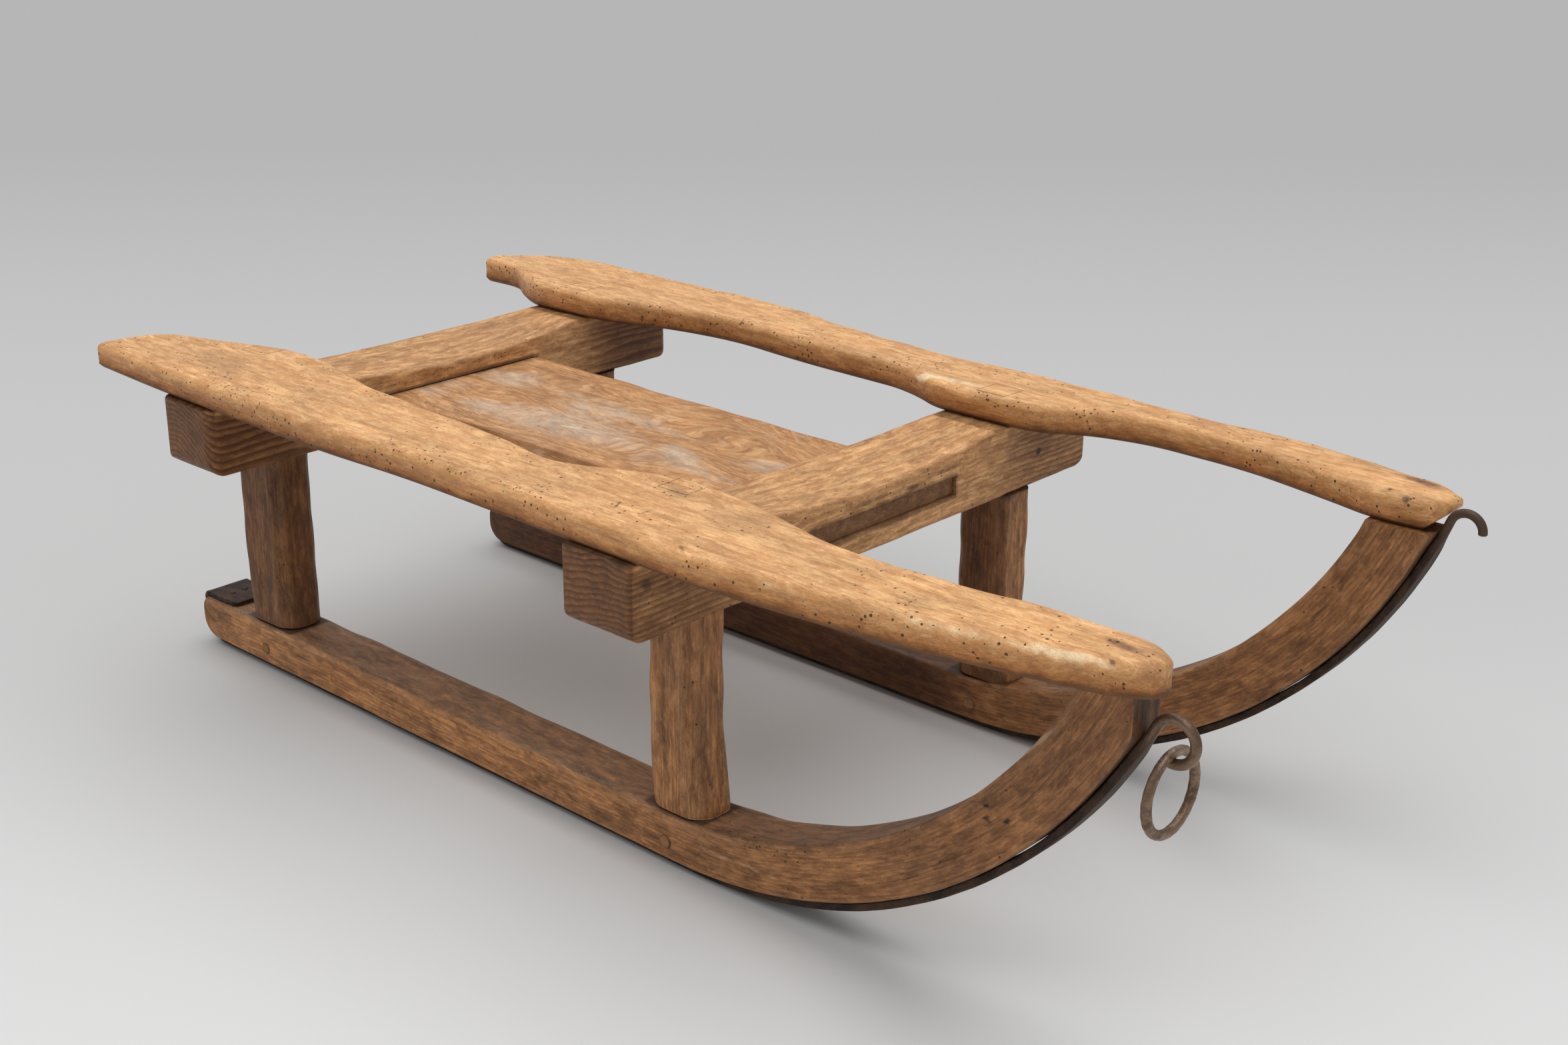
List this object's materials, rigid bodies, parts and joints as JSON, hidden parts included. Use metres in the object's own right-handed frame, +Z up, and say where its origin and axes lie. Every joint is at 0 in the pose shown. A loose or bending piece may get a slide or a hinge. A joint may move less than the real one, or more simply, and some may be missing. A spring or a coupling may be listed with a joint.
{
  "type": "wooden sled",
  "caption": "Low farmhouse sled: iron-shod runners curving up to two wavy top rails, posts and crossbeams, a seat board, an iron pull ring.",
  "frame": {"origin": "on the ground, under the middle of the sled's overall length and width", "axes": "+X forward to the curled tips, +Y to the sled's left, +Z up"},
  "size_m": [0.9394, 0.46, 0.255],
  "materials": {
    "waxed_wood": "hand-planed softwood, waxed and polished by use, honey brown",
    "board_wood": "sawn plank, waxed, with pale scuffs",
    "beam_wood": "hewn timber, darkened, worn bright on top",
    "dark_wood": "hewn timber, darkened by age",
    "peg_wood": "whittled pegs, nearly black",
    "forged_iron": "hand-forged iron, dark brown patina, rubbed brighter on the ring"
  },
  "bodies": {
    "sled": {"runner_left": "dark_wood", "runner_right": "dark_wood", "shoe_left": "forged_iron", "shoe_right": "forged_iron", "crossbeam_rear": "beam_wood", "crossbeam_front": "beam_wood", "post_rear_left": "dark_wood", "peg_rear_left": "peg_wood", "post_rear_right": "dark_wood", "peg_rear_right": "peg_wood", "post_front_left": "dark_wood", "peg_front_left": "peg_wood", "post_front_right": "dark_wood", "peg_front_right": "peg_wood", "seat_board": "board_wood", "rail_left": "waxed_wood", "rail_right": "waxed_wood"},
    "ring": {"pull_ring": "forged_iron"}
  },
  "joints": [
    {"name": "ring_swing", "type": "hinge", "parent": "sled", "child": "ring", "pos_m": [0.44304, -0.148, 0.18979], "axis": [1, 0, 0], "range_deg": [-90, 90]}
  ]
}
